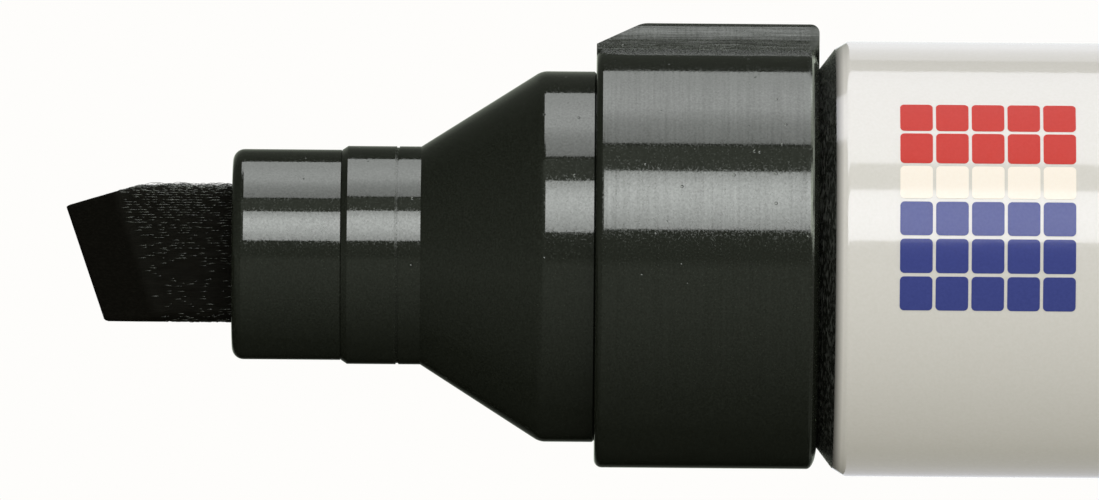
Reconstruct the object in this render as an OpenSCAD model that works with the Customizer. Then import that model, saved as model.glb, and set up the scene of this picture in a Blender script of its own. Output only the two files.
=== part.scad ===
// Wide chisel-nib permanent marker with its cap pushed onto the tail.
// It lies along X with the nib towards -X and the anti-roll lug on top.
// The origin is on the marker's axis, halfway along the tube. Lengths are in millimetres.

/* [Barrel] */
// Outer diameter of the aluminium tube
barrel_d = 22.3; // [18:0.1:28]
// Length of the tube
barrel_len = 80; // [60:1:110]
// Wall of the tube
barrel_wall = 0.5; // [0.4:0.05:0.8]
// Length over which the tube's ends curve in
barrel_rim_len = 0.75; // [0.3:0.05:1.2]

/* [Nose] */
// Depth of the cap's seat, and of the post on the tail, below the tube's surface
seat_inset = 1.65; // [1.3:0.05:2]
// Length of the seat in front of the collar
seat_len = 2.5; // [2:0.1:6]
// Length of the cone between the seat and the nozzle
cone_len = 6.45; // [4:0.05:9]
// Height of the nozzle's step above the nib holder
nozzle_step = 0.2; // [0.2:0.05:0.8]
// Length of the nozzle behind the nib holder
nozzle_len = 4.05; // [3:0.05:7]
// Wall of the nose around the ink chamber
nose_wall = 1.2; // [1:0.1:1.6]
// Length of each plug that is pressed into the tube
plug_len = 9; // [7:0.5:14]

/* [Nib holder] */
// Wall left between the nib's corners and the holder's tail
holder_wall = 0.71; // [0.5:0.01:1]
// Height of the holder's shoulder, which rests on the nozzle, above its tail
holder_shoulder = 0.6; // [0.5:0.05:1]
// Length of the exposed sleeve
holder_len = 5.6; // [4:0.1:8]
// Radius round the sleeve's front edge
holder_edge_r = 0.6; // [0.2:0.05:0.8]
// Length of the holder's tail inside the nozzle
holder_tail_len = 8; // [5:0.5:9]

/* [Nib] */
// Width of the felt
nib_w = 7; // [5:0.1:8]
// Thickness of the felt
nib_t = 4; // [3:0.1:5]
// Thickness left at the writing edge
nib_edge_t = 1.8; // [1:0.1:2.6]
// How far the nib stands out of its holder
nib_reach = 8.55; // [7:0.05:11]
// Slant of the writing edge from upright, in degrees
nib_slant = 19; // [5:1:30]
// Depth of the two chisel bevels, square to the writing edge
nib_bevel = 2.5; // [1.5:0.1:4]
// Drop of the nib's top corner below its upper side
nib_shoulder_drop = 1.1; // [0.4:0.05:2]
// Length of the sloping top behind that corner
nib_shoulder_len = 3.8; // [2:0.1:5]
// How deep the nib's other end bites into the ink filler
nib_bite = 6; // [3:0.5:10]

/* [Collar] */
// Depth of the collar below the tube's surface
collar_inset = 0.35; // [0:0.05:0.6]
// Length of the collar
collar_len = 11.4; // [8:0.1:16]
// Radius round the collar's front edge
collar_edge_r = 0.4; // [0.2:0.05:0.7]
// Length over which the collar's rear edge curves in
collar_rear_len = 0.5; // [0.3:0.05:1]
// How deep the collar snaps into the nose
neck_recess = 0.3; // [0.2:0.05:0.4]
// Width of the lug at its foot
lug_w = 3.9; // [3.6:0.1:6]
// Height of the lug above the collar
lug_h = 1.2; // [0.8:0.1:2]
// Half the width of the lug's oval top, where it would be upright
lug_edge_r = 1.85; // [0.5:0.05:2]
// Length of the ramp at the lug's front
lug_ramp_len = 2.35; // [1:0.05:4]
// Height of the lug above the collar where the ramp starts
lug_ramp_start = 0.1; // [0.1:0.05:0.5]
// Length of the ring between the collar and the tube
ring_len = 0.8; // [0.5:0.05:2]
// Height of the ring's front edge above the seat
ring_wall = 0.2; // [0.1:0.05:0.6]

/* [Filler] */
// Thickness of the film round the filler
film_t = 0.1; // [0.08:0.01:0.2]
// Outer diameter of the breather tube
breather_d = 1.5; // [1.2:0.1:2]
// Wall of the breather tube
breather_wall = 0.3; // [0.2:0.05:0.4]

/* [Cap] */
// Depth of the cap's mouth below the tube's surface
cap_inset = 0.35; // [0:0.05:0.5]
// How much smaller the cap's closed end is, in radius
cap_taper = 0.4; // [0:0.05:0.8]
// Wall of the cap beside and behind its closed end
cap_wall = 1.4; // [1.2:0.1:1.8]
// Wall of the liner
liner_wall = 0.9; // [0.7:0.1:1.2]
// Number of grip flutes
flute_count = 24; // [12:2:36]
// Depth of a flute at the closed end
flute_depth = 0.4; // [0.2:0.05:0.6]

/* [Hidden] */

// Radial gaps: parts pressed together, and parts that slide
fit_gap = 0.02;
slide_gap = 0.05;
// Gap between faces that meet end to end
face_gap = 0.1;
// Cuts run past the solids that they cut by this much
overrun = 1;
// Facets of what is drawn round, and steps along a rounded corner
round_fn = 96;
corner_steps = 8;

// Radii, from the tube inwards and then from the nib outwards
barrel_r = barrel_d / 2;
barrel_bore_r = barrel_r - barrel_wall;
rim_round_share = 0.8;
rim_r = rim_round_share * min(barrel_wall, barrel_rim_len);
plug_r = barrel_bore_r - fit_gap;
seat_r = barrel_r - seat_inset;
neck_r = seat_r - neck_recess;
ring_bore_r = neck_r + fit_gap;
chamber_r = seat_r - nose_wall;
collar_r = barrel_r - collar_inset;
collar_rear_share = 0.82;
collar_rear_drop = collar_rear_share * (collar_r - ring_bore_r);
nib_corner_reach = norm([nib_w, nib_t]) / 2;
holder_tail_r = nib_corner_reach + slide_gap + holder_wall;
holder_bore_r = holder_tail_r + fit_gap;
holder_r = holder_tail_r + holder_shoulder;
nozzle_r = holder_r + nozzle_step;

// Places along the axis, from the tube's mouth to the nib
x_mouth = -barrel_len / 2;
x_neck = x_mouth - ring_len;
x_collar = x_neck - collar_len;
x_seat = x_collar - seat_len;
x_cone = x_seat - cone_len;
x_joint = x_cone - nozzle_len;
x_face = x_joint - holder_len;
x_tip = x_face - nib_reach;

// Nose: small edges, the parting line, the recess that the collar snaps into, and a plug's
// lead-in and sealing grooves
nozzle_edge_len = 0.3;
seat_corner_r = 1.05;
neck_relief = 0.1;
parting_from_cone = 1.25;
parting_w = 0.14;
parting_depth = 0.06;
chamber_setback = 0.6;
plug_lead = 0.5;
seal_groove_w = 1;
seal_groove_depth = 0.25;
seal_groove_shares = [0.3, 0.62];
x_plug_end = x_mouth + plug_len;
x_chamber = x_seat + chamber_setback;
corner_reach = [cone_len, seat_r - seat_corner_r - nozzle_r];
cone_slope = atan2(corner_reach[1], corner_reach[0]) + asin(seat_corner_r / norm(corner_reach));

// Nib holder: the bevel that leaves a fine groove where it meets the nozzle
holder_bevel = 0.05;

// Nib: its corners, its taper at the inner end and the air grooves beside it
nib_corner_r = 0.5;
nib_inner_taper = 0.6;
nib_tip_z = nib_w / 2 - nib_shoulder_drop;
air_groove_w = 1;
air_groove_depth = 0.5;
air_groove_spacing_share = 0.36;

// Lug: an oval top, taller than it is wide, and a slanted flank down to the collar, with rounded
// corners at the rear and above the ramp. Its root starts inside the collar.
lug_flank_tilt = 27;
lug_stretch = 1.5;
lug_ramp_r = 1.4;
lug_end_r = 0.45;
lug_root_depth = 0.1;
lug_top_z = collar_r + lug_h;
lug_foot_z = sqrt(pow(collar_r, 2) - pow(lug_w / 2, 2));
lug_root_z = ring_bore_r + lug_root_depth;
lug_rise = lug_top_z - lug_foot_z;
lug_turn = atan(lug_stretch * tan(lug_flank_tilt));
lug_drop_share = lug_stretch * (1 - sin(lug_turn));
lug_side_share = cos(lug_turn) - lug_drop_share * tan(lug_flank_tilt);
lug_side_room = lug_w / 2 - lug_rise * tan(lug_flank_tilt);
lug_top_r = min(lug_edge_r, lug_rise / lug_drop_share, lug_side_room / lug_side_share);
lug_ramp_slope = atan((lug_h - lug_ramp_start) / lug_ramp_len);

// Filler, with the breather tube under its film on the upper side
x_filler = x_chamber + face_gap;
x_nib_end = x_filler + nib_bite;
film_r = chamber_r - slide_gap;
filler_r = film_r - film_t - fit_gap;
breather_r = breather_d / 2;
breather_z = filler_r - breather_r - fit_gap;

// Tail plug, with the post for the cap and the fins that stop the filler
post_setback = 1.2;
post_len = seat_len + cone_len + nozzle_len - post_setback;
post_edge_r = 0.6;
post_wall = 1.4;
fin_count = 4;
fin_t = 1;
fin_inner_r = 2;
fin_setback = 5;
x_tail = -x_mouth;
x_post = x_tail + ring_len;
x_post_end = x_post + post_len;
x_post_inside = x_post_end - post_wall;
x_plug_start = x_tail - plug_len;
x_filler_end = x_plug_start + fin_setback;

// Cap: depths run from its mouth, which meets the collar when the marker is capped
tip_room = 0.9;
liner_base = 1;
liner_setback = 0.3;
nib_room_gap = 0.4;
liner_bore_r = holder_r + slide_gap;
liner_r = liner_bore_r + liner_wall;
nib_room_r = nib_corner_reach + nib_room_gap;
liner_depth = x_collar - x_joint + liner_setback;
nib_room_depth = x_collar - x_face + face_gap;
liner_end_depth = x_collar - x_tip + tip_room + liner_base;
cap_r = barrel_r - cap_inset;
cap_end_r = cap_r - cap_taper;
cap_bore_r = seat_r + slide_gap;
cap_end_bore_r = cap_end_r - cap_wall;
cap_step_depth = (post_len + liner_depth) / 2;
cap_inner_depth = liner_end_depth + fit_gap;
cap_len = cap_inner_depth + cap_wall;
cap_edge_r = 1.2;
cap_mouth_edge_r = 0.3;
boss_len = 6;
boss_wall = 1;
boss_bore_r = liner_r + fit_gap;
boss_r = boss_bore_r + boss_wall;
flute_r = 0.9;
flute_start_share = 0.45;
gate_r = 3;
gate_depth = 0.3;
gate_nub_r = 0.7;
gate_nub_h = 0.15;
x_cap = x_post + face_gap;
x_cap_inside = x_cap + cap_inner_depth;
x_cap_end = x_cap + cap_len;

// Colours, as the photograph shows them
black_plastic = [0.17, 0.18, 0.165];
ring_black = [0.1, 0.1, 0.09];
warm_grey = [0.81, 0.79, 0.75];
felt_black = [0.06, 0.055, 0.045];
ink_fibre = [0.09, 0.09, 0.1];
clear_film = [0.86, 0.88, 0.9];
natural_white = [0.9, 0.89, 0.85];

// Points of an elliptical arc about [cx, cy], with one radius each way, between two angles
function oval_arc(cx, cy, rx, ry, from, to) = [
    for (i = [0:corner_steps])
        let (angle = from + (to - from) * i / corner_steps)
            [cx + rx * cos(angle), cy + ry * sin(angle)]
];

function arc(cx, cy, r, from, to) = oval_arc(cx, cy, r, r, from, to);

// Outline of a rectangle with rounded corners, centred on the origin
function rounded_rectangle(w, h, r) = concat(
    arc(w / 2 - r, h / 2 - r, r, 0, 90),
    arc(r - w / 2, h / 2 - r, r, 90, 180),
    arc(r - w / 2, r - h / 2, r, 180, 270),
    arc(w / 2 - r, r - h / 2, r, 270, 360)
);

// The same outline seen in a mirror that stands on the second axis
function mirrored(points) = [for (i = [len(points) - 1:-1:0]) [-points[i][0], points[i][1]]];

// Points [radius, x] of a groove round a cylinder
function groove(r, x, w, depth) = [[r, x], [r - depth, x], [r - depth, x + w], [r, x + w]];

// Points [radius, x] of a plug's outside, from the tube's mouth inwards
function plug_outline() = concat(
    [[plug_r, x_mouth]],
    [
        for (share = seal_groove_shares)
            for (p = groove(plug_r, x_mouth + share * plug_len, seal_groove_w, seal_groove_depth))
                p
    ],
    [[plug_r, x_plug_end - plug_lead], [plug_r - plug_lead, x_plug_end]]
);

// Points [radius, x] of the flare from the ring's front edge up to the tube's mouth
function neck_outline() = [[seat_r + ring_wall, x_neck], [barrel_r - rim_r, x_mouth]];

// A solid turned about the X axis from points [radius, x]
module turned(points) {
    rotate([0, 90, 0])
        rotate_extrude($fn = round_fn)
            polygon(points);
}

// A round bar along X
module rod(r, x_from, x_to) {
    translate([x_from, 0, 0])
        rotate([0, 90, 0])
            cylinder(r = r, h = x_to - x_from, $fn = round_fn);
}

// An outline in [y, z], drawn out along X
module along_x(points, x_from, x_to) {
    translate([x_from, 0, 0])
        rotate([90, 0, 90])
            linear_extrude(x_to - x_from)
                polygon(points);
}

// An outline in [x, z], drawn out to both sides of the middle plane
module across_y(points, width) {
    rotate([90, 0, 0])
        linear_extrude(width, center = true)
            polygon(points);
}

// An outline in [x, y], drawn out up and down
module along_z(points, height) {
    linear_extrude(height, center = true)
        polygon(points);
}

// A square-cornered bar along X
module bar(width, height, x_from, x_to) {
    translate([x_from, -width / 2, -height / 2])
        cube([x_to - x_from, width, height]);
}

// Each end slopes in from a rounded edge
module barrel_tube() {
    rim_slope = asin(rim_r / barrel_rim_len);
    color(warm_grey)
        turned(concat(
            [[barrel_bore_r, x_mouth], [barrel_r - rim_r, x_mouth]],
            arc(barrel_r - rim_r, x_mouth + barrel_rim_len, rim_r, -rim_slope, 0),
            arc(barrel_r - rim_r, x_tail - barrel_rim_len, rim_r, 0, rim_slope),
            [[barrel_r - rim_r, x_tail], [barrel_bore_r, x_tail]]
        ));
}

module nose_body() {
    color(black_plastic)
        turned(concat(
            [[holder_bore_r, x_joint], [holder_r, x_joint], [nozzle_r, x_joint + nozzle_edge_len]],
            groove(nozzle_r, x_cone - parting_from_cone, parting_w, parting_depth),
            [[nozzle_r, x_cone]],
            arc(seat_r - seat_corner_r, x_seat, seat_corner_r, -cone_slope, 0),
            [[seat_r, x_collar - neck_relief], [seat_r - neck_relief, x_collar]],
            [[neck_r, x_collar], [neck_r, x_mouth]],
            plug_outline(),
            [[chamber_r, x_plug_end], [chamber_r, x_chamber], [holder_bore_r, x_chamber]]
        ));
}

// Trapped between the collar, the tube's mouth and the nose's plug
module mouth_ring() {
    color(ring_black)
        turned(concat([[ring_bore_r, x_neck]], neck_outline(), [[ring_bore_r, x_mouth]]));
}

// The lug is cut from three outlines: its section, its side view and its plan
module lug() {
    top_h = lug_stretch * lug_top_r;
    top_y = lug_side_room - lug_side_share * lug_top_r;
    half_section = concat(
        oval_arc(top_y, lug_top_z - top_h, lug_top_r, top_h, 90, lug_turn),
        [[lug_w / 2, lug_foot_z], [lug_w / 2, lug_root_z]]
    );
    x_ramp_end = x_collar + lug_ramp_len + lug_ramp_r * tan(lug_ramp_slope / 2);
    intersection() {
        along_x(concat(half_section, mirrored(half_section)), x_collar, x_neck);
        across_y(concat(
            [[x_neck, lug_root_z], [x_collar, lug_root_z], [x_collar, collar_r + lug_ramp_start]],
            arc(x_ramp_end, lug_top_z - lug_ramp_r, lug_ramp_r, 90 + lug_ramp_slope, 90),
            arc(x_neck - lug_end_r, lug_top_z - lug_end_r, lug_end_r, 90, 0)
        ), 2 * lug_w);
        along_z(concat(
            [[x_collar, -lug_w]],
            arc(x_neck - lug_end_r, lug_end_r - lug_w / 2, lug_end_r, -90, 0),
            arc(x_neck - lug_end_r, lug_w / 2 - lug_end_r, lug_end_r, 0, 90),
            [[x_collar, lug_w]]
        ), 4 * lug_top_z);
    }
}

module anti_roll_collar() {
    front_centre_r = collar_r - collar_edge_r;
    rear_centre_r = collar_r - collar_rear_drop;
    x_rear = x_neck - collar_rear_len;
    color(black_plastic)
        union() {
            turned(concat(
                [[ring_bore_r, x_collar]],
                arc(front_centre_r, x_collar + collar_edge_r, collar_edge_r, -90, 0),
                oval_arc(rear_centre_r, x_rear, collar_rear_drop, collar_rear_len, 0, 90),
                [[ring_bore_r, x_neck]]
            ));
            lug();
        }
}

// Sleeve that grips the nib, with grooves beside the felt that let air in as ink flows out
module nib_holder() {
    x_end = x_joint + holder_tail_len;
    slot_t = nib_t + 2 * slide_gap;
    color(black_plastic)
        difference() {
            turned(concat(
                [[0, x_face]],
                arc(holder_r - holder_edge_r, x_face + holder_edge_r, holder_edge_r, -90, 0),
                [[holder_r, x_joint - holder_bevel], [holder_r - holder_bevel, x_joint]],
                [[holder_tail_r, x_joint], [holder_tail_r, x_end], [0, x_end]]
            ));
            bar(slot_t, nib_w + 2 * slide_gap, x_face - overrun, x_end + overrun);
            for (side = [-1, 1])
                translate([0, 0, side * air_groove_spacing_share * nib_w / 2])
                    bar(slot_t + 2 * air_groove_depth, air_groove_w, x_face - overrun, x_end + overrun);
        }
}

// The writing edge slants back from the top corner, and both bevels run along it
module chisel_nib() {
    half_w = nib_w / 2;
    half_t = nib_t / 2;
    nib_len = x_nib_end - x_tip;
    edge_run = (nib_tip_z + half_w) * tan(nib_slant);
    color(felt_black)
        intersection() {
            across_y([
                [x_tip, nib_tip_z],
                [x_tip + nib_shoulder_len, half_w],
                [x_nib_end, half_w],
                [x_nib_end, -half_w],
                [x_tip + edge_run, -half_w]
            ], 2 * nib_t);
            along_x(rounded_rectangle(nib_t, nib_w, nib_corner_r), x_tip, x_nib_end);
            translate([x_tip, 0, nib_tip_z])
                rotate([0, -nib_slant, 0])
                    along_z([
                        [0, nib_edge_t / 2],
                        [nib_bevel, half_t],
                        [2 * nib_len, half_t],
                        [2 * nib_len, -half_t],
                        [nib_bevel, -half_t],
                        [0, -nib_edge_t / 2]
                    ], 4 * nib_len);
            along_z([
                [x_tip, half_t],
                [x_nib_end - nib_inner_taper, half_t],
                [x_nib_end, half_t - nib_inner_taper],
                [x_nib_end, nib_inner_taper - half_t],
                [x_nib_end - nib_inner_taper, -half_t],
                [x_tip, -half_t]
            ], 2 * nib_w);
        }
}

module ink_filler() {
    groove_r = breather_r + fit_gap;
    color(ink_fibre)
        difference() {
            rod(filler_r, x_filler, x_filler_end);
            bar(
                nib_t + 2 * slide_gap, nib_w + 2 * slide_gap,
                x_filler - overrun, x_nib_end + slide_gap
            );
            translate([0, 0, breather_z]) {
                rod(groove_r, x_filler - overrun, x_filler_end + overrun);
                translate([0, 0, breather_r])
                    bar(2 * groove_r, breather_d, x_filler - overrun, x_filler_end + overrun);
            }
        }
}

module filler_film() {
    inner_r = film_r - film_t;
    color(clear_film)
        turned([
            [inner_r, x_filler], [film_r, x_filler],
            [film_r, x_filler_end], [inner_r, x_filler_end]
        ]);
}

module breather_tube() {
    inner_r = breather_r - breather_wall;
    color(natural_white)
        translate([0, 0, breather_z])
            turned([
                [inner_r, x_filler], [breather_r, x_filler],
                [breather_r, x_filler_end], [inner_r, x_filler_end]
            ]);
}

// Drawn at the nose's end with the same plug, then mirrored to the tail
module tail_plug() {
    color(black_plastic)
        mirror([1, 0, 0])
            union() {
                turned(concat(
                    [[0, -x_post_end]],
                    arc(seat_r - post_edge_r, post_edge_r - x_post_end, post_edge_r, -90, 0),
                    [[seat_r, x_neck]],
                    neck_outline(),
                    plug_outline(),
                    [[chamber_r, x_plug_end], [chamber_r, -x_post_inside], [0, -x_post_inside]]
                ));
                for (i = [0:fin_count - 1])
                    rotate([360 * i / fin_count, 0, 0])
                        translate([-x_post_inside - post_wall / 2, fin_inner_r, -fin_t / 2])
                            cube([
                                x_post_inside + post_wall / 2 - x_filler_end - face_gap,
                                chamber_r + nose_wall / 2 - fin_inner_r,
                                fin_t
                            ]);
            }
}

// Its mouth meets the post's shoulder, and its flutes deepen towards the closed end
module cap_shell() {
    flute_start = flute_start_share * cap_len;
    flute_tilt = atan((flute_depth + cap_taper) / (cap_len - flute_start));
    color(black_plastic)
        difference() {
            turned(concat(
                [[cap_bore_r, x_cap]],
                arc(cap_r - cap_mouth_edge_r, x_cap + cap_mouth_edge_r, cap_mouth_edge_r, -90, 0),
                arc(cap_end_r - cap_edge_r, x_cap_end - cap_edge_r, cap_edge_r, 0, 90),
                [[gate_r, x_cap_end], [gate_r, x_cap_end - gate_depth]],
                [[gate_nub_r, x_cap_end - gate_depth]],
                [[gate_nub_r, x_cap_end - gate_depth + gate_nub_h]],
                [[0, x_cap_end - gate_depth + gate_nub_h], [0, x_cap_inside]],
                [[boss_bore_r, x_cap_inside], [boss_bore_r, x_cap_inside - boss_len]],
                [[boss_r, x_cap_inside - boss_len], [boss_r, x_cap_inside]],
                [[cap_end_bore_r, x_cap_inside], [cap_end_bore_r, x_cap + cap_step_depth]],
                [[cap_bore_r, x_cap + cap_step_depth]]
            ));
            for (i = [0:flute_count - 1])
                rotate([360 * (i + 0.5) / flute_count, 0, 0])
                    translate([x_cap + flute_start, 0, cap_r + flute_r])
                        rotate([0, 90 + flute_tilt, 0])
                            cylinder(r = flute_r, h = cap_len, $fn = round_fn);
        }
}

// Cup that slides over the nib holder and keeps the nib moist
module cap_liner() {
    x_base = x_cap + liner_end_depth - liner_base;
    color(natural_white)
        turned([
            [liner_bore_r, x_cap + liner_depth],
            [liner_r, x_cap + liner_depth],
            [liner_r, x_cap + liner_end_depth],
            [0, x_cap + liner_end_depth],
            [0, x_base],
            [nib_room_r, x_base],
            [nib_room_r, x_cap + nib_room_depth],
            [liner_bore_r, x_cap + nib_room_depth]
        ]);
}

barrel_tube();
nose_body();
mouth_ring();
anti_roll_collar();
nib_holder();
chisel_nib();
ink_filler();
filler_film();
breather_tube();
tail_plug();
cap_shell();
cap_liner();
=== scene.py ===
# %% [markdown]
# # A wide permanent marker, seen from the side
#
# The shapes come from CAD: twelve nodes on three bodies, which are the marker itself, its felt nib and
# its cap. They fit each other and they are the real size, so this lesson is mostly about surfaces and
# light: how black moulded plastic, lacquered aluminium and ink-soaked felt come to look like themselves.
# All lengths are in metres, in the CAD model's own frame. +X runs along the axis from the nib to the
# tail, and +Z points up through the lug that keeps the marker from rolling.

# %% Load the CAD model
import math

import bmesh
import bpy
import numpy as np
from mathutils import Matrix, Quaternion, Vector, noise
from mathutils.bvhtree import BVHTree


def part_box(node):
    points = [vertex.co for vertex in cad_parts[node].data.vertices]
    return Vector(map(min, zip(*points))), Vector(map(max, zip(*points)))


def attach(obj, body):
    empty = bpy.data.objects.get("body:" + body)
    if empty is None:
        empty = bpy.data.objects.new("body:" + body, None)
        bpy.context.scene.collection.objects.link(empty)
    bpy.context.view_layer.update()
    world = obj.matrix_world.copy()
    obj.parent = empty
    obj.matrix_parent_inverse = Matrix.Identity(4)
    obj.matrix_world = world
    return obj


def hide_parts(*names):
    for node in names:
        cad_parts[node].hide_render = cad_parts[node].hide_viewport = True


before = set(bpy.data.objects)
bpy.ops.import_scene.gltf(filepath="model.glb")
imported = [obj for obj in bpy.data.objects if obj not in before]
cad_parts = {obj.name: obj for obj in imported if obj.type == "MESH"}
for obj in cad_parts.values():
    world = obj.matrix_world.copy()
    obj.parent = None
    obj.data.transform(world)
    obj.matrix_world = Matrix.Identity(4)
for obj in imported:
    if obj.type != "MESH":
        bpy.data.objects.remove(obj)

MM = 0.001
scene = bpy.context.scene
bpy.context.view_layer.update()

# %% [markdown]
# ## The camera
#
# A long lens far away flattens a thing, as in a catalogue picture, and a short lens close by bulges it.
# The marker's outline is straight and its rings look like straight lines, so this is the first kind:
# a 640 mm lens at a metre. The picture's width covers 56.36 mm of the marker's side, and
# lens, sensor and that width together give the distance. The marker leans by a little under half
# a degree in the picture. It is the camera that leans here, because the CAD parts stay where they are.

# %% Camera
VIEW_WIDTH = 56.36 * MM
LENS_MM = 640.0
SENSOR_MM = 36.0
LEAN = math.radians(0.45)
FLOOR_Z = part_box("barrel_tube")[0].z
EYE_DROP = 0.1 * MM
aim = Vector((-54.55, 0.0, 0.33)) * MM
# This little below the floor, the camera sees the floor as nothing but a line.
eye = Vector((aim.x, -VIEW_WIDTH * LENS_MM / SENSOR_MM, FLOOR_Z - EYE_DROP))

camera_data = bpy.data.cameras.new("catalogue_camera")
camera_data.type = "PERSP"
camera_data.lens = LENS_MM
camera_data.sensor_width = SENSOR_MM
camera_data.clip_start = 0.05
camera_data.clip_end = 20.0
camera = bpy.data.objects.new("catalogue_camera", camera_data)
scene.collection.objects.link(camera)
camera.rotation_mode = "QUATERNION"
camera.location = eye
camera.rotation_quaternion = (aim - eye).to_track_quat("-Z", "Y") @ Quaternion((0, 0, 1), LEAN)
scene.camera = camera
scene.view_settings.view_transform = "Standard"
print(f"camera {abs(eye.y):.3f} m away")

# %% [markdown]
# ## Two helpers for shader nodes
#
# Every material below is a small tree of nodes. One function adds a node, sets its options, and sets or
# links its inputs, so that a tree reads as a list of what it does. Colours are written the way a colour
# picker shows them, as sRGB hex, and a second function turns them into the linear light values that
# Cycles works with.

# %% Helpers for nodes and colours
def linear(hex_colour):
    """The linear RGBA value of an sRGB colour such as '#1e211c'."""
    channels = [int(hex_colour[i:i + 2], 16) / 255 for i in (1, 3, 5)]
    return [c / 12.92 if c <= 0.04045 else ((c + 0.055) / 1.055) ** 2.4 for c in channels] + [1.0]


def add_node(tree, kind, inputs=None, **settings):
    """Adds one node with its options, and sets each input to a value or links it to a socket."""
    node = tree.nodes.new(kind)
    for option, value in settings.items():
        setattr(node, option, value)
    for name, value in (inputs or {}).items():
        if isinstance(value, bpy.types.NodeSocket):
            tree.links.new(value, node.inputs[name])
        else:
            node.inputs[name].default_value = value
    return node


# %% [markdown]
# ## Floor and surround
#
# The marker lies on white paper over a light table, in a white surround. Catalogue pictures are often
# made this way, because the table fills in the shadows from below: even the barrel's underside stays at
# half its colour here. What the camera sees of the paper is kept apart from what it does as a lamp, with
# the Light Path node. To the camera it is half pigment and half glow, which comes out white where
# nothing stands in the light and still shows the marker's shadow.

# %% White paper on a light table
SKY_FILL = 0.7            # how bright the surround is as a lamp
TABLE_GLOW = 0.52         # how bright the table shines up through the paper
PAPER_BOUNCE = 0.08       # the share of light that the paper throws back besides
PAPER_SEEN = 0.5          # the share of its white that follows the light when it is looked at
OPEN_LIGHT = 0.86         # what lights the open floor, counted from all lamps below

paper = bpy.data.materials.new("white_matt_paper")
paper.use_nodes = True
tree = paper.node_tree
tree.nodes.clear()
light_path = add_node(tree, "ShaderNodeLightPath")
bounce = add_node(tree, "ShaderNodeBsdfDiffuse", {"Color": [PAPER_BOUNCE] * 3 + [1]})
table = add_node(tree, "ShaderNodeEmission", {"Color": linear("#fffdf3"), "Strength": TABLE_GLOW})
lit = add_node(tree, "ShaderNodeAddShader", {0: bounce.outputs[0], 1: table.outputs[0]})
shaded = add_node(tree, "ShaderNodeBsdfDiffuse", {"Color": [PAPER_SEEN] * 3 + [1]})
glow = add_node(tree, "ShaderNodeEmission", {"Strength": 1 - PAPER_SEEN * OPEN_LIGHT})
seen = add_node(tree, "ShaderNodeAddShader", {0: shaded.outputs[0], 1: glow.outputs[0]})
top = add_node(tree, "ShaderNodeMixShader", {
    0: light_path.outputs["Is Camera Ray"], 1: lit.outputs[0], 2: seen.outputs[0]})
# From below, the paper isn't there.
clear = add_node(tree, "ShaderNodeBsdfTransparent")
side = add_node(tree, "ShaderNodeNewGeometry")
both = add_node(tree, "ShaderNodeMixShader", {
    0: side.outputs["Backfacing"], 1: top.outputs[0], 2: clear.outputs[0]})
add_node(tree, "ShaderNodeOutputMaterial", {"Surface": both.outputs[0]})
print(f"paper: glows {TABLE_GLOW} as a lamp and {1 - PAPER_SEEN * OPEN_LIGHT:.2f} to the camera")


# %% Floor
def flat_sheet(name, corners):
    """A sheet with these four corners, for the floor and the softboxes' cloth."""
    mesh = bpy.data.meshes.new(name)
    mesh.from_pydata(corners, [], [(0, 1, 2, 3)])
    sheet = bpy.data.objects.new(name, mesh)
    scene.collection.objects.link(sheet)
    return sheet


FLOOR_HALF = 3.0      # metres from its middle to its edges
floor = flat_sheet("paper_floor", [
    (-FLOOR_HALF, -FLOOR_HALF, FLOOR_Z), (FLOOR_HALF, -FLOOR_HALF, FLOOR_Z),
    (FLOOR_HALF, FLOOR_HALF, FLOOR_Z), (-FLOOR_HALF, FLOOR_HALF, FLOOR_Z)])
floor.data.materials.append(paper)
floor.visible_glossy = False
print(f"floor at z {FLOOR_Z / MM:.2f} mm")

# %% Surround
world = bpy.data.worlds.new("white_surround")
scene.world = world
world.use_nodes = True
tree = world.node_tree
tree.nodes.clear()
light_path = add_node(tree, "ShaderNodeLightPath")
looked_at = add_node(tree, "ShaderNodeMath", {
    0: light_path.outputs["Is Camera Ray"], 1: light_path.outputs["Is Glossy Ray"]}, operation="MAXIMUM")
looked_through = add_node(tree, "ShaderNodeMath", {
    0: looked_at.outputs[0], 1: light_path.outputs["Is Transmission Ray"]}, operation="MAXIMUM")
level = add_node(tree, "ShaderNodeMapRange", {
    "Value": looked_through.outputs[0], "To Min": SKY_FILL, "To Max": 1.0})
white = add_node(tree, "ShaderNodeBackground", {"Color": linear("#fefdfb"), "Strength": level.outputs[0]})
add_node(tree, "ShaderNodeOutputWorld", {"Surface": white.outputs[0]})
print(f"surround: {SKY_FILL} as a lamp, white when it is looked at")

# %% [markdown]
# ## Lamps
#
# Two kinds of light make the picture. A broad key light from the front and above shapes the pale
# barrel, which is bright along its top and grey below. Then there is what the gloss mirrors. On a
# glossy cylinder, a softbox shows as a stripe along its length, and the stripe's place tells where the
# box stands: a surface that faces 15 degrees up mirrors what stands 30 degrees up. The marker shows two
# stripes, so there is one softbox in front, a little above, and a wide one overhead. Their strength is
# that of the stripes divided by the 4 percent of light that plastic mirrors. The stripes on the barrel
# lie a little lower than those on the black parts, so each has its own pair of boxes, which Cycles'
# light linking allows. The barrel has two faint ones besides, high and low behind it, which it mirrors
# along its upper and lower edges. All six are sheets that only gloss sees, so that stripes and shading
# can be set apart. Each lets what is behind it shine through, or it would hide the tent from the parts
# that it doesn't light.

# %% Key light
KEY_HEIGHT = math.radians(25)
key_lamp = bpy.data.lights.new("key_light", "SUN")
key_lamp.energy = 1.12
key_lamp.angle = math.radians(60)
key = bpy.data.objects.new("key_light", key_lamp)
scene.collection.objects.link(key)
key.rotation_euler = (math.radians(90) - KEY_HEIGHT, 0, 0)
key.visible_glossy = False
print(f"key light: {math.degrees(KEY_HEIGHT):.0f} degrees up, strength {key_lamp.energy:.2f}")


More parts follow.
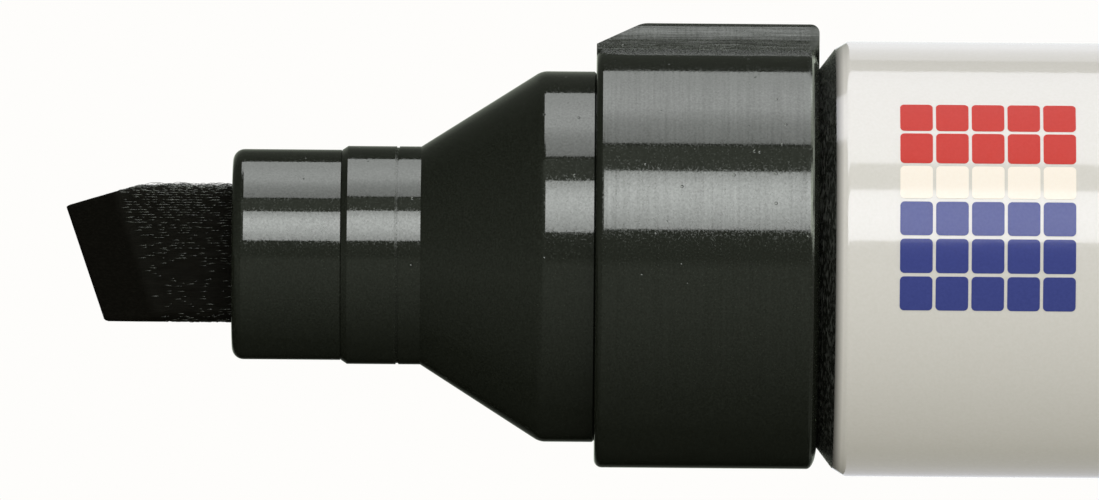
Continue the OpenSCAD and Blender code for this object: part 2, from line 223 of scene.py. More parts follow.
# %% Helpers for what the gloss mirrors
def only_for_gloss(thing):
    """Leaves a stage object out of everything but mirror images."""
    thing.visible_camera = False
    thing.visible_diffuse = False
    thing.visible_transmission = False
    thing.visible_volume_scatter = False
    thing.visible_shadow = False


def profile(tree, value, points):
    """A number that follows `value` in straight lines through the points (value, result)."""
    result = points[0][1]
    for (low, start), (high, end) in zip(points, points[1:]):
        step = add_node(tree, "ShaderNodeMapRange", {
            "Value": value, "From Min": low, "From Max": high, "To Min": 0.0, "To Max": end - start})
        result = add_node(tree, "ShaderNodeMath", {0: step.outputs[0], 1: result},
                          operation="ADD").outputs[0]
    return result


def angle_round_axis(tree):
    """The angle of a place round the X axis, in degrees above the camera's side."""
    place = add_node(tree, "ShaderNodeTexCoord")
    xyz = add_node(tree, "ShaderNodeSeparateXYZ", {0: place.outputs["Object"]}).outputs
    to_front = add_node(tree, "ShaderNodeMath", {0: xyz["Y"], 1: -1.0}, operation="MULTIPLY")
    angle = add_node(tree, "ShaderNodeMath", {0: xyz["Z"], 1: to_front.outputs[0]},
                     operation="ARCTAN2")
    return add_node(tree, "ShaderNodeMath", {0: angle.outputs[0]}, operation="DEGREES").outputs[0]


def glowing_cloth(name, tint, glow, see_through):
    """A cloth whose glow is a sum of layers. Each layer is a list of points (degrees round the axis,
    brightness) and a list of points (metres along X, share of that brightness), or None."""
    cloth = bpy.data.materials.new(name)
    cloth.use_nodes = True
    tree = cloth.node_tree
    tree.nodes.clear()
    angle = angle_round_axis(tree)
    place = add_node(tree, "ShaderNodeTexCoord")
    along = add_node(tree, "ShaderNodeSeparateXYZ", {0: place.outputs["Object"]}).outputs["X"]
    level = 0.0
    for by_angle, by_place in glow:
        layer = profile(tree, angle, by_angle)
        share = 1.0 if by_place is None else profile(tree, along, by_place)
        level = add_node(tree, "ShaderNodeMath", {0: layer, 1: share, 2: level},
                         operation="MULTIPLY_ADD").outputs[0]
    shader = add_node(tree, "ShaderNodeEmission", {"Color": linear(tint), "Strength": level})
    if see_through:
        clear = add_node(tree, "ShaderNodeBsdfTransparent")
        shader = add_node(tree, "ShaderNodeAddShader", {0: shader.outputs[0], 1: clear.outputs[0]})
    add_node(tree, "ShaderNodeOutputMaterial", {"Surface": shader.outputs[0]})
    return cloth


# %% Which boxes a thing mirrors
barrel_only = bpy.data.collections.new("the_barrel_alone")
all_but_barrel = bpy.data.collections.new("all_but_the_barrel")


def mirrors_the_barrels_boxes(thing):
    """Makes an object mirror the barrel's softboxes, and not those of the black parts."""
    for group, state in ((barrel_only, "INCLUDE"), (all_but_barrel, "EXCLUDE")):
        group.objects.link(thing)
        group.collection_objects[-1].light_linking.link_state = state


mirrors_the_barrels_boxes(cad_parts["barrel_tube"])

# %% Softboxes
BOX_REACH = 0.5            # metres from the axis to a box's edges
CLOTH, BLUISH_CLOTH = "#fbfffc", "#f4f5ff"
SHORT_BOX, LONG_BOX, REAR_BOX = (-0.132, 0.11), (-0.5, 0.19), (-0.075, 0.08)      # metres along X


def softbox(name, left, right, glow_by_angle, tint, receivers):
    """A glowing sheet along the axis that spans the angles of its list of (degrees, brightness)."""
    edges = [math.radians(glow_by_angle[k][0]) for k in (0, -1)]
    (y_low, z_low), (y_high, z_high) = [
        (-BOX_REACH * math.cos(edge), BOX_REACH * math.sin(edge)) for edge in edges]
    sheet = flat_sheet(name, [(left, y_low, z_low), (right, y_low, z_low),
                              (right, y_high, z_high), (left, y_high, z_high)])
    sheet.data.materials.append(glowing_cloth(name, tint, [(glow_by_angle, None)], see_through=True))
    only_for_gloss(sheet)
    sheet.light_linking.receiver_collection = receivers
    print(f"{name}: {glow_by_angle[0][0]} to {glow_by_angle[-1][0]} degrees")


softbox("front_softbox", *SHORT_BOX, [
    (14.4, 6.0), (19, 6.9), (22, 7.8), (28, 9.0), (34, 9.6), (39, 9.0), (43, 7.5), (47, 6.2)],
    CLOTH, all_but_barrel)
softbox("overhead_softbox", *SHORT_BOX, [
    (64, 3.2), (77, 3.9), (88, 5.2), (98, 4.6), (110, 3.3), (122, 2.3)], CLOTH, all_but_barrel)
softbox("front_softbox_barrel", *LONG_BOX, [(8.8, 7.6), (22, 8.0), (35.8, 7.3)],
        BLUISH_CLOTH, barrel_only)
softbox("overhead_softbox_barrel", *LONG_BOX, [
    (50.8, 5.3), (70, 5.7), (85, 5.2), (103, 4.2), (117, 3.0)], BLUISH_CLOTH, barrel_only)
softbox("rear_softbox_barrel", *REAR_BOX, [(130, 0.8), (150, 1.3), (166, 0.9), (178, 0.6)],
        BLUISH_CLOTH, barrel_only)
softbox("low_softbox_barrel", *REAR_BOX, [(-178, 1.0), (-147, 0.6), (-122, 0.0)],
        BLUISH_CLOTH, barrel_only)

# %% [markdown]
# ## The tent
#
# Black plastic is as dark as what it mirrors, so a grey tent stands behind the softboxes. It has a
# brightness for each direction round the marker's axis: dim in front, dimmer overhead, and black
# underneath. Its middle, which only the straight sides mirror, also has the light table's glow just below
# the horizon, the softboxes' spill above it, and the backdrop that glances off the outline. Towards the
# tail it has two more stripes, which carry the softboxes' stripes on over each part's rounded rear edge.

# %% The tent's brightness
TENT_BY_ANGLE = [      # degrees above the camera's side, brightness
    (-180, 0.0), (-155, 0.0), (-112, 0.02), (-82, 0.1), (-24, 0.24), (0, 0.22), (20, 0.18), (62, 0.14),
    (110, 0.06), (180, 0.1)]
MIDDLE_BY_ANGLE = [
    (-180, 0.7), (-172, 0.1), (-160, 0.0), (-82, 0.01), (-24, 0.16), (-7, 0.2), (-1, 0.02), (9, 0.08),
    (52, 0.4), (62, 0.4), (64, 0.0), (150, 0.03), (172, 0.2), (180, 0.7)]
MIDDLE_BY_PLACE = [(-2.0, 0.0), (-1.0, 1.0), (1.0, 1.0), (2.0, 0.0)]      # metres along X, share
STRIPES_BY_ANGLE = [
    (-180, 0.12), (12, 0.12), (15, 6.0), (33, 8.0), (50, 5.5), (58, 0.2), (66, 0.2), (70, 3.3), (88, 4.0),
    (115, 2.2), (140, 1.3), (160, 1.2), (173, 1.2), (177, 0.12)]
STRIPES_BY_PLACE = [(1.0, 0.0), (1.15, 1.0)]
print("tent, brightest in front:", max(glow for angle, glow in TENT_BY_ANGLE))

# %% Tent
TENT_R = 4.0      # metres
tent_mesh = bpy.data.meshes.new("grey_tent")
ball = bmesh.new()
bmesh.ops.create_icosphere(ball, subdivisions=4, radius=TENT_R)
ball.to_mesh(tent_mesh)
ball.free()
tent = bpy.data.objects.new("grey_tent", tent_mesh)
scene.collection.objects.link(tent)
only_for_gloss(tent)
tent.data.materials.append(glowing_cloth("grey_tent", "#f1fbe8", [
    (TENT_BY_ANGLE, None), (MIDDLE_BY_ANGLE, MIDDLE_BY_PLACE), (STRIPES_BY_ANGLE, STRIPES_BY_PLACE)],
    see_through=False))
tent.active_material.cycles.emission_sampling = "NONE"      # it is too even to be worth aiming at

# %% [markdown]
# ## Surface patterns in millimetres
#
# Texture Coordinate's Object output gives each point's place in the CAD frame, in metres. A noise
# texture draws one bump per unit, so dividing the place by the size of a bump gives a pattern of a
# known size. Dividing by another size along X than across it stretches the pattern: long in X gives
# streaks along the marker, short in X gives fine rings around it, and neither has a seam.

# %% Helpers for materials
def start_material(name, base, roughness, ior=1.5):
    """A Principled material with its plain values set, and its tree to add patterns to."""
    material = bpy.data.materials.new(name)
    material.use_nodes = True
    shader = material.node_tree.nodes["Principled BSDF"]
    shader.inputs["Base Color"].default_value = linear(base)
    shader.inputs["Roughness"].default_value = roughness
    shader.inputs["IOR"].default_value = ior
    return material, material.node_tree, shader


def paint(node_name, material):
    """Gives a CAD node its finish."""
    for material_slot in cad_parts[node_name].material_slots:
        material_slot.material = material
    print(f"{node_name}: {material.name}")


# %% Helpers for patterns
def grain(tree, along, across, detail=2.0, roughness=0.5):
    """Noise from 0 to 1 whose bumps are `along` mm long in X and `across` mm in Y and Z."""
    place = add_node(tree, "ShaderNodeTexCoord")
    stretched = add_node(tree, "ShaderNodeVectorMath", {
        0: place.outputs["Object"],
        1: (1 / (along * MM), 1 / (across * MM), 1 / (across * MM))}, operation="MULTIPLY")
    pattern = add_node(tree, "ShaderNodeTexNoise", {
        "Vector": stretched.outputs[0], "Scale": 1.0, "Detail": detail, "Roughness": roughness})
    return pattern.outputs["Fac"]


def ramp(tree, value, low, high, to_low, to_high):
    """Turns `value` between low and high into a number between to_low and to_high."""
    return add_node(tree, "ShaderNodeMapRange", {
        "Value": value, "From Min": low, "From Max": high, "To Min": to_low, "To Max": to_high,
    }).outputs[0]


def blend_colours(tree, factor, first, second):
    """Mixes two colours, each a socket or a linear value."""
    return add_node(tree, "ShaderNodeMix", {0: factor, 6: first, 7: second},
                    data_type="RGBA").outputs[2]


def relief(tree, shader, layers):
    """Stacks bump layers, each a pattern and its depth in mm, and gives them to the shader."""
    normal = None
    for pattern, depth in layers:
        inputs = {"Height": pattern, "Distance": depth * MM, "Strength": 1.0}
        if normal is not None:
            inputs["Normal"] = normal
        normal = add_node(tree, "ShaderNodeBump", inputs).outputs[0]
    tree.links.new(normal, shader.inputs["Normal"])


# %% [markdown]
# ## Black polypropylene
#
# The nose, its holder, the collar, the tail and the cap are injection moulded polypropylene, coloured
# through with carbon black. Up close it is never quite even: the steel mould leaves a faint grain of
# about a tenth of a millimetre, turned mould parts leave fine rings, and handling leaves tiny pits.
# The grain is drawn in roughness and in how much the surface mirrors, more than in the relief, because
# a softbox's mirror image stays even on a bumpy surface but loses light where the surface is duller. The
# grain's relief is half a thousandth of a millimetre deep, since the stripes' edges are nearly as sharp
# as in a mirror. Its broad waves, the pits, the moulding line and the lug's scratches are deeper.

# %% Helper for pits
def specks(tree, spacing, size):
    """1 in round specks of up to `size` mm across, from points about `spacing` mm apart in space."""
    place = add_node(tree, "ShaderNodeTexCoord")
    cells = add_node(tree, "ShaderNodeTexVoronoi", {
        "Vector": place.outputs["Object"], "Scale": 1 / (spacing * MM)})
    radius = size / 2 / spacing
    return ramp(tree, cells.outputs["Distance"], radius * 0.6, radius, 1, 0)


# %% The collar's own wear
COLLAR_REAR, LUG_TOP = [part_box("anti_roll_collar")[1][axis] / MM for axis in (0, 2)]
SCUFF_START, SCUFF_END = COLLAR_REAR - 0.7, COLLAR_REAR - 0.1      # mm along X
LUG_START, LUG_END = LUG_TOP - 1.6, LUG_TOP - 1.35                 # mm up, where the lug's scratches begin


def collar_wear(tree, xyz):
    """What a collar shows besides its grain: rings from its turned mould, a scuffed rear edge and a lug
    that gets dragged. Returns changes of its gloss, additions to its roughness, and bump layers."""
    rings = grain(tree, 0.14, 6.0, detail=3)
    scuffed = ramp(tree, xyz["X"], SCUFF_START * MM, SCUFF_END * MM, 0.0, 0.13)
    on_lug = ramp(tree, xyz["Z"], LUG_START * MM, LUG_END * MM, 0, 1)
    dragged = add_node(tree, "ShaderNodeMath", {
        0: grain(tree, 2.4, 0.13, detail=3), 1: on_lug}, operation="MULTIPLY").outputs[0]
    gloss = [ramp(tree, rings, 0.3, 0.7, 0.05, -0.05), ramp(tree, dragged, 0.3, 0.6, 0.0, -0.2)]
    roughness = [ramp(tree, rings, 0.5, 0.7, 0.0, 0.06), scuffed, ramp(tree, on_lug, 0, 1, 0.0, 0.17)]
    return gloss, roughness, [(rings, 0.0008), (dragged, 0.016)]


print(f"scuffs from x {SCUFF_START:.1f} mm, scratches above z {LUG_START:.1f} mm")

# %% Black polypropylene
PARTING_HALF = 0.07      # mm, half the width of the moulding line


def add_up(tree, first, others):
    """The sum of a socket and a list of sockets."""
    for other in others:
        first = add_node(tree, "ShaderNodeMath", {0: first, 1: other}, operation="ADD").outputs[0]
    return first


def black_polypropylene(name, parting=None, collar=False):
    """Moulded black plastic. `parting` is the place in mm along X of a moulding line round it."""
    material, tree, shader = start_material(name, "#181b17", 0.06, ior=1.49)
    place = add_node(tree, "ShaderNodeTexCoord")
    xyz = add_node(tree, "ShaderNodeSeparateXYZ", {0: place.outputs["Object"]}).outputs
    fine = grain(tree, 0.09, 0.09, detail=2)
    gloss = ramp(tree, grain(tree, 0.11, 0.11, detail=3), 0.3, 0.7, 0.42, 0.58)
    rough = ramp(tree, fine, 0.5, 0.75, 0.045, 0.24)
    layers = [(fine, 0.0005), (grain(tree, 1.4, 1.4, detail=1), 0.002), (specks(tree, 1.0, 0.17), -0.012)]
    if parting is not None:
        beside = add_node(tree, "ShaderNodeMath", {
            0: xyz["X"], 1: parting * MM, 2: PARTING_HALF * MM}, operation="COMPARE").outputs[0]
        rough = add_up(tree, rough, [ramp(tree, beside, 0, 1, 0.0, 0.14)])
        layers.append((beside, -0.004))
    if collar:
        more_gloss, more_rough, more_layers = collar_wear(tree, xyz)
        gloss = add_up(tree, gloss, more_gloss)
        rough = add_up(tree, rough, more_rough)
        layers += more_layers
    tree.links.new(rough, shader.inputs["Roughness"])
    tree.links.new(gloss, shader.inputs["Specular IOR Level"])
    tint = blend_colours(tree, ramp(tree, fine, 0.35, 0.7, 0, 1), linear("#13150f"), linear("#20231d"))
    tree.links.new(tint, shader.inputs["Base Color"])
    relief(tree, shader, layers)
    return material


# %% The black parts
PARTING_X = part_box("nose_body")[0].x / MM + 2.8      # where the two halves of the nose's mould met
plain_plastic = black_polypropylene("black_polypropylene_moulded")
for node_name in ("nib_holder", "tail_plug", "cap_shell"):
    paint(node_name, plain_plastic)
paint("nose_body", black_polypropylene("black_polypropylene_split_mould", parting=PARTING_X))
paint("anti_roll_collar", black_polypropylene("black_polypropylene_turned_mould", collar=True))

# %% [markdown]
# ## The lacquered barrel
#
# The barrel is drawn aluminium tube with a warm light grey stoving lacquer. Lacquer is colour under a
# clear, slightly soft gloss, so it is a plain dielectric here and not a metal. Its colour darkens over the
# last half millimetre towards the mouth. That is painted shade, where the rim curves in beside the ring.

# %% Lacquered aluminium
lacquer, tree, shader = start_material("aluminium_with_grey_lacquer", "#d8d6d0", 0.08, ior=1.45)
flecks = grain(tree, 0.16, 0.16, detail=3)
coat = blend_colours(tree, ramp(tree, flecks, 0.3, 0.7, 0, 1), linear("#d6d4cd"), linear("#dad8d2"))
BARREL_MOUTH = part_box("barrel_tube")[0].x / MM
RIM_START, RIM_END = BARREL_MOUTH - 0.06, BARREL_MOUTH + 0.4      # mm along X
place = add_node(tree, "ShaderNodeTexCoord")
along = add_node(tree, "ShaderNodeSeparateXYZ", {0: place.outputs["Object"]}).outputs["X"]
# Painted shade: the lacquer's colour turns nearly black towards the mouth, where the rim curves in.
painted_rim_shade = ramp(tree, along, RIM_START * MM, RIM_END * MM, 1, 0)
tree.links.new(blend_colours(tree, painted_rim_shade, coat, linear("#191615")), shader.inputs["Base Color"])
tree.links.new(ramp(tree, flecks, 0.45, 0.75, 0.07, 0.14), shader.inputs["Roughness"])
relief(tree, shader, [(flecks, 0.0005), (grain(tree, 1.8, 1.8), 0.003)])
paint("barrel_tube", lacquer)

# %% [markdown]
# ## The printed panel
#
# The panel is screen printed on the lacquer, and screen ink is a film some hundredths of a millimetre
# thick. So each swatch is a film here: a closed plate that bends with the tube, with straight lines along
# X, steps round the arc, and round corners. A mesh keeps its edge in every view, and each ink can have a
# finish of its own, which is duller than the lacquer. The swatches stand in rows, red above and blue
# below, as a plain pattern of colour samples.

# %% The panel's fields
PANEL_LEFT = BARREL_MOUTH + 3.15              # mm along X
PANEL_LENGTH = 9.09                           # mm
PANEL_TOP, PANEL_BOTTOM = 44.6, -14.5         # degrees above the camera's side
COLUMNS, ROWS = 5, 6
FIELD_LENGTH = PANEL_LENGTH / COLUMNS
FIELD_ANGLE = (PANEL_TOP - PANEL_BOTTOM) / ROWS
BARREL_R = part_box("barrel_tube")[1].y / MM
FIELD_HEIGHT = math.radians(FIELD_ANGLE) * BARREL_R
print(f"fields of {FIELD_LENGTH:.2f} by {FIELD_HEIGHT:.2f} mm")

# %% Helpers for a swatch
SWATCH_SHARE = 0.91                           # how much of its field a swatch fills each way
SWATCH_CORNER = 0.22                          # mm
INK_SUNK, INK_PROUD = 0.02, 0.02              # mm below and above the lacquer


def swatch_levels(half_along, half_round, corner, flat_steps=8, corner_steps=6):
    """Cuts through a rounded square, from end to end: place round the tube and half width, in mm."""
    turns = [math.radians(90 * step / corner_steps) for step in range(corner_steps + 1)]
    reach = half_round - corner
    upper = [(reach + corner * math.sin(t), half_along - corner + corner * math.cos(t)) for t in turns]
    flat = [(reach * (2 * step / flat_steps - 1), half_along) for step in range(1, flat_steps)]
    return [(-place, width) for place, width in reversed(upper)] + flat + upper


def add_swatch(points, faces, middle, angle, levels):
    """Adds one closed plate of ink whose middle is at `middle` mm along X and `angle` round the tube."""
    first = len(points)
    for place, width in levels:
        turn = math.radians(angle) + place / BARREL_R
        for radius in (BARREL_R + INK_PROUD, BARREL_R - INK_SUNK):
            for x in (middle - width, middle + width):
                points.append(Vector((x, -radius * math.cos(turn), radius * math.sin(turn))) * MM)
    for a in range(first, len(points) - 4, 4):
        b = a + 4
        faces += [(a, a + 1, b + 1, b), (a + 2, b + 2, b + 3, a + 3),
                  (a, b, b + 2, a + 2), (a + 1, a + 3, b + 3, b + 1)]
    last = len(points) - 4
    faces += [(first, first + 2, first + 3, first + 1), (last, last + 1, last + 3, last + 2)]


# %% Screen ink
def screen_ink(name, thin, thick, gloss):
    """Opaque ink with the fine grain of its screen, a little darker where the film is thick."""
    ink, tree, shader = start_material("screen_ink_" + name, thin, 0.2, ior=1.5)
    shader.inputs["Specular IOR Level"].default_value = gloss
    film = grain(tree, 0.14, 0.14, detail=3)
    tree.links.new(blend_colours(tree, ramp(tree, film, 0.3, 0.7, 0, 1), linear(thin), linear(thick)),
                   shader.inputs["Base Color"])
    tree.links.new(ramp(tree, film, 0.4, 0.75, 0.1, 0.22), shader.inputs["Roughness"])
    relief(tree, shader, [(film, 0.0008)])
    return ink


# %% Screen-printed swatches
SHARP_EDGE = math.radians(40)
swatch = swatch_levels(FIELD_LENGTH * SWATCH_SHARE / 2, FIELD_HEIGHT * SWATCH_SHARE / 2, SWATCH_CORNER)
for name, thin, thick, gloss, rows in (
        ("red", "#ca3b31", "#c6352b", 0.09, (0, 1)),
        ("cream", "#fdf5e8", "#fbf2e4", 0.2, (2,)),
        ("blue", "#3e4789", "#384183", 0.22, (3, 4, 5))):
    points, faces = [], []
    for row in rows:
        for column in range(COLUMNS):
            add_swatch(points, faces, PANEL_LEFT + (column + 0.5) * FIELD_LENGTH,
                       PANEL_TOP - (row + 0.5) * FIELD_ANGLE, swatch)
    mesh = bpy.data.meshes.new("panel_swatches_" + name)
    mesh.from_pydata(points, [], faces)
    for polygon in mesh.polygons:
        polygon.use_smooth = True
    mesh.set_sharp_from_angle(angle=SHARP_EDGE)
    mesh.materials.append(screen_ink(name, thin, thick, gloss))
    piece = bpy.data.objects.new("panel_swatches_" + name, mesh)
    scene.collection.objects.link(piece)
    mirrors_the_barrels_boxes(piece)
    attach(piece, "marker")
    print(f"{name} ink: {len(rows) * COLUMNS} swatches, {len(faces)} faces")

# %% [markdown]
# ## The ring at the tube's mouth
#
# A thin rubber ring fills the groove between the collar and the tube. Moulded rubber is dull and slightly
# crumbly, with fine lines round it from its mould, so its grain is stretched round the ring and its gloss
# is broad and broken. The lighter flecks in its colour are painted glints on that grain.

# %% Black rubber
rubber, tree, shader = start_material("black_rubber_moulded", "#1a1b18", 0.4, ior=1.52)
crumbs_and_glints = grain(tree, 0.07, 0.4, detail=3, roughness=0.6)
tree.links.new(ramp(tree, crumbs_and_glints, 0.3, 0.7, 0.14, 0.4), shader.inputs["Roughness"])
# Painted glints: the grain's high points are coloured light grey.
tree.links.new(blend_colours(tree, ramp(tree, crumbs_and_glints, 0.5, 0.72, 0, 1), linear("#11120f"),
                             linear("#4b4d49")), shader.inputs["Base Color"])
relief(tree, shader, [(crumbs_and_glints, 0.05)])
paint("mouth_ring", rubber)

# %% [markdown]
# ## What is inside
#
# The filler is a rod of bonded polyester fibres, wrapped in clear film, with a breather tube along it,
# and the cap holds an inner cup of the same polypropylene without pigment. They are out of sight until
# somebody takes the marker apart, but they have their finishes all the same.

# %% Natural polypropylene
natural, tree, shader = start_material("natural_polypropylene_moulded", "#e2dfd6", 0.35, ior=1.49)
shader.inputs["Subsurface Weight"].default_value = 0.3
shader.inputs["Subsurface Radius"].default_value = (1.0, 0.95, 0.85)
shader.inputs["Subsurface Scale"].default_value = 0.6 * MM
milky = grain(tree, 0.5, 0.5)
tree.links.new(ramp(tree, milky, 0.3, 0.7, 0.28, 0.42), shader.inputs["Roughness"])
relief(tree, shader, [(milky, 0.003)])
paint("breather_tube", natural)
paint("cap_liner", natural)

# %% Clear film
film, tree, shader = start_material("clear_polypropylene_film", "#dce0e4", 0.08, ior=1.49)
shader.inputs["Alpha"].default_value = 0.4
wrinkles = grain(tree, 9.0, 1.1, detail=2)
relief(tree, shader, [(wrinkles, 0.05)])
paint("filler_film", film)

# %% Inked wadding
wadding, tree, shader = start_material("inked_polyester_wadding", "#15141b", 0.7, ior=1.5)
strands = grain(tree, 4.0, 0.12, detail=3, roughness=0.65)
tree.links.new(blend_colours(tree, ramp(tree, strands, 0.4, 0.75, 0, 1), linear("#101014"),
                             linear("#2a2933")), shader.inputs["Base Color"])
relief(tree, shader, [(strands, 0.08)])
paint("ink_filler", wadding)

# %% [markdown]
# ## The felt nib
#
# The nib is a bar of pressed and resin-bonded polyester felt. Its writing bevel is ground smooth, and
# the rest shows the fibres, which lie along the bar. CAD has it as a clean solid, so the felt is a copy
# of that solid that is remeshed into even, small faces and then pushed in and out by noise that is
# stretched along the fibres. What lies near the slanted writing edge is ground, and stays smooth.

# %% Helpers for the felt
FELT_VOXEL, WELD = 0.13, 0.001      # mm


def remeshed_copy(node_name, name, voxel):
    """A copy of a CAD node with even square faces, worked on in millimetres."""
    solid = bmesh.new()
    solid.from_mesh(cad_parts[node_name].data)
    bmesh.ops.remove_doubles(solid, verts=solid.verts, dist=WELD * MM)
    bmesh.ops.scale(solid, verts=solid.verts, vec=(1 / MM,) * 3)
    mesh = bpy.data.meshes.new(name + "_solid")
    solid.to_mesh(mesh)
    solid.free()
    piece = bpy.data.objects.new(name, mesh)
    scene.collection.objects.link(piece)
    even = piece.modifiers.new("even_faces", "REMESH")
    even.mode = "VOXEL"
    even.voxel_size = voxel
    even.use_smooth_shade = True
    shaped = piece.evaluated_get(bpy.context.evaluated_depsgraph_get())
    piece_mesh = bpy.data.meshes.new_from_object(shaped)
    piece_mesh.name = name
    piece.modifiers.clear()
    piece.data = piece_mesh
    return piece


def smoothstep(low, high, value):
    """A number that eases from 0 at `low` to 1 at `high`."""
    t = np.clip((value - low) / (high - low), 0.0, 1.0)
    return t * t * (3 - 2 * t)


# %% Where the felt is ground
GROUND_WIDTH = 2.9                      # mm of the side that is ground smooth along the writing edge
GROUND_FADE = (-0.2, 0.3)               # mm before and after that, over which it turns rough
felt = remeshed_copy("chisel_nib", "felt_nib", FELT_VOXEL)
count = len(felt.data.vertices)
place = np.empty(count * 3)
felt.data.vertices.foreach_get("co", place)
place = place.reshape(-1, 3)
facing = np.empty(count * 3, np.float32)
felt.data.vertices.foreach_get("normal", facing)
facing = facing.reshape(-1, 3).astype(float)
tip = place[place[:, 0].argmin()]
low = place[place[:, 2] < place[:, 2].min() + 2 * FELT_VOXEL]
foot = low[low[:, 0].argmin()]
edge = (foot - tip) / np.linalg.norm(foot - tip)
from_edge = (place[:, 0] - tip[0]) * -edge[2] + (place[:, 2] - tip[2]) * edge[0]
ground = 1 - smoothstep(GROUND_WIDTH + GROUND_FADE[0], GROUND_WIDTH + GROUND_FADE[1], from_edge)
print(f"writing edge from x {tip[0]:.1f}, z {tip[2]:.1f} to x {foot[0]:.1f}, z {foot[2]:.1f} mm")

# %% Felt body
GROUND_AWAY = 0.92                          # the share of its roughness that grinding takes away
FIBRE_RELIEF, LUMP_RELIEF = 0.03, 0.02      # mm
ALONG_FIBRE, ACROSS_FIBRE = 0.8, 6.5        # bumps to the mm
LUMPS = 2.1                                 # bumps to the mm
INSET = 0.045                               # mm that the felt lies inside the solid, for its fibres

push = np.array([
    FIBRE_RELIEF * noise.noise(Vector((x * ALONG_FIBRE, y * ACROSS_FIBRE, z * ACROSS_FIBRE)))
    + LUMP_RELIEF * noise.noise(Vector((x, y, z)) * LUMPS)
    for x, y, z in place])
place = place + facing * ((1 - GROUND_AWAY * ground) * (push - INSET))[:, None]
felt.data.vertices.foreach_set("co", (place * MM).ravel())
felt.data.update()
for polygon in felt.data.polygons:
    polygon.use_smooth = True
print(f"felt nib: {len(felt.data.polygons)} faces")

# %% [markdown]
# ## Loose fibres on the felt
#
# What makes felt read as felt at this distance is the glint of single fibres: short bright dashes that
# lie along the bar, most of them near its upper edge, where the overhead softbox catches them. Each is
# a thin three-sided tube that follows the surface, comes out of it in the middle and dips back in at
# its ends. On the top face some stand further out, as a thin fuzz against the light. Real fibres are
# about 0.02 mm thick. The dashes are drawn three times as thick, or they would fall between pixels.

# %% Where the fibres start
FIBRE_COUNT = 1900
FUZZ_COUNT = 60                                   # fibres that stand out from the top face
HOLDER_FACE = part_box("nib_holder")[0].x / MM      # where the holder covers the felt
COVERED = 0.4                                     # mm inside the holder where fibres still start
LOWER_SHARE = 0.2                                 # how many lie low on the side, beside 1 near its top
FADE_LOW, FADE_HIGH = -1.0, 3.4                   # mm up, between which they grow more
MOSTLY_GROUND = 0.15                              # a face that is ground more than this carries no fibre
TOP_FACE = 0.15                                   # mm below the highest point that counts as on top
FUZZ_FROM_TIP = 5                                 # mm behind the tip where fuzz begins
draw = np.random.default_rng(71)

surface = BVHTree.FromPolygons(
    [Vector(p) for p in place], [tuple(polygon.vertices) for polygon in felt.data.polygons])
faces_middle = np.array([place[list(polygon.vertices)].mean(0) for polygon in felt.data.polygons])
faces_ground = np.array([ground[list(polygon.vertices)].mean() for polygon in felt.data.polygons])
upper = smoothstep(FADE_LOW, FADE_HIGH, faces_middle[:, 2])
wanted = ((faces_middle[:, 0] < HOLDER_FACE + COVERED) * (faces_ground < MOSTLY_GROUND)
          * (LOWER_SHARE + (1 - LOWER_SHARE) * upper))
starts = draw.choice(len(wanted), FIBRE_COUNT, p=wanted / wanted.sum())
on_top = (wanted * (faces_middle[:, 2] > place[:, 2].max() - TOP_FACE)
          * (faces_middle[:, 0] > tip[0] + FUZZ_FROM_TIP))
starts = np.append(starts, draw.choice(len(on_top), FUZZ_COUNT, p=on_top / on_top.sum()))
print(f"starts: {len(starts)} on {int((wanted > 0).sum())} faces")

# %% Helpers for a fibre
SIDES, STEPS = 3, 6
END_DEPTH = 0.03      # mm that a fibre's ends lie under the surface


def fibre_spine(start, length, tilt, swing, lift):
    """Points along one fibre that follows the felt, each with the surface's normal."""
    spine = []
    for step in range(STEPS):
        share = step / (STEPS - 1)
        ahead = start + Vector((-length * share, swing * length * share, tilt * length * share))
        hit, normal, _, _ = surface.find_nearest(ahead)
        out = lift * math.sin(math.pi * share) - END_DEPTH * (1 - math.sin(math.pi * share))
        spine.append((hit + normal * out, normal))
    return spine


def add_fibre(points, faces, spine, radius):
    """Adds the closed tube round one spine."""
    first = len(points)
    for centre, normal in spine:
        sideways = normal.cross(Vector((1, 0, 0))).normalized()
        for k in range(SIDES):
            turn = 2 * math.pi * k / SIDES + math.pi / 2
            points.append((centre + radius * (
                math.sin(turn) * normal + math.cos(turn) * sideways)) * MM)
    for ring in range(STEPS - 1):
        for k in range(SIDES):
            a, b = first + ring * SIDES + k, first + ring * SIDES + (k + 1) % SIDES
            faces.append((a, b, b + SIDES, a + SIDES))
    end = first + (STEPS - 1) * SIDES
    faces.append(tuple(first + k for k in reversed(range(SIDES))))
    faces.append(tuple(end + k for k in range(SIDES)))


# %% Loose fibres
FIBRE_RADIUS, FUZZ_RADIUS = 0.03, 0.013                  # mm
FIBRE_LENGTH, FUZZ_LENGTH = (0.14, 0.5), (0.6, 1.3)      # mm, least and most
FIBRE_LIFT, FUZZ_LIFT = (0.0, 0.03), (0.06, 0.2)         # mm that the middle stands out
TILT, SWING = 0.06, 0.05                                 # typical slope up or down, and sideways
HIDDEN = 0.3                                             # mm inside the holder where none shows
LONGEST_STEP = 0.4                                       # mm. A longer one has jumped round an edge.

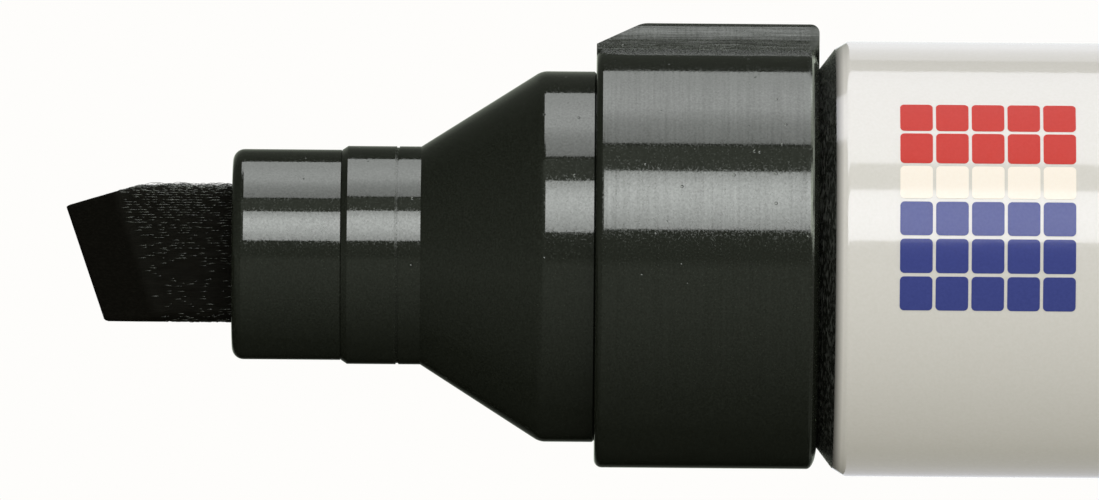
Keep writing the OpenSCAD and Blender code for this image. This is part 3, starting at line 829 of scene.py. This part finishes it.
fibre_points, fibre_faces = [], []
for number, start in enumerate(starts):
    fuzz = number >= FIBRE_COUNT
    length = draw.uniform(*(FUZZ_LENGTH if fuzz else FIBRE_LENGTH))
    tilt, swing = draw.normal(0, TILT), draw.normal(0, SWING)
    lift = draw.uniform(*(FUZZ_LIFT if fuzz else FIBRE_LIFT))
    point = Vector(faces_middle[start])
    if point.x - length > HOLDER_FACE + HIDDEN:
        continue
    spine = fibre_spine(point, length, tilt, swing, lift)
    if max((spine[i][0] - spine[i + 1][0]).length for i in range(STEPS - 1)) > LONGEST_STEP:
        continue
    add_fibre(fibre_points, fibre_faces, spine, FUZZ_RADIUS if fuzz else FIBRE_RADIUS)
fibre_mesh = bpy.data.meshes.new("felt_fibres")
fibre_mesh.from_pydata(fibre_points, [], fibre_faces)
for polygon in fibre_mesh.polygons:
    polygon.use_smooth = len(polygon.vertices) == 4
fibres = bpy.data.objects.new("felt_fibres", fibre_mesh)
scene.collection.objects.link(fibres)
print(f"loose fibres: {len(fibre_points) // (SIDES * STEPS)}")

# %% Inked felt
felt_cloth, tree, shader = start_material("pressed_polyester_felt_inked", "#0c0b09", 0.6, ior=1.5)
shader.inputs["Specular IOR Level"].default_value = 0.03
threads = grain(tree, 0.7, 0.07, detail=3, roughness=0.6)
tree.links.new(blend_colours(tree, ramp(tree, threads, 0.45, 0.75, 0, 1), linear("#0a0906"),
                             linear("#12110d")), shader.inputs["Base Color"])
tree.links.new(ramp(tree, threads, 0.3, 0.7, 0.5, 0.75), shader.inputs["Roughness"])
relief(tree, shader, [(threads, 0.012)])
felt.data.materials.append(felt_cloth)
print("felt_nib:", felt_cloth.name)

# %% Inked fibres
fibre_cloth, tree, shader = start_material("single_polyester_fibre_inked", "#2a2b27", 0.25, ior=1.5)
each = grain(tree, 0.5, 0.2, detail=1)
tree.links.new(blend_colours(tree, ramp(tree, each, 0.35, 0.7, 0, 1), linear("#0e0e0c"),
                             linear("#34362f")), shader.inputs["Base Color"])
fibres.data.materials.append(fibre_cloth)
print("felt_fibres:", fibre_cloth.name)

# %% The nib's pieces go with it
for piece in (felt, fibres):
    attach(piece, "nib")
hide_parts("chisel_nib")
print("the felt stands for the solid nib, and its fibres ride with it")
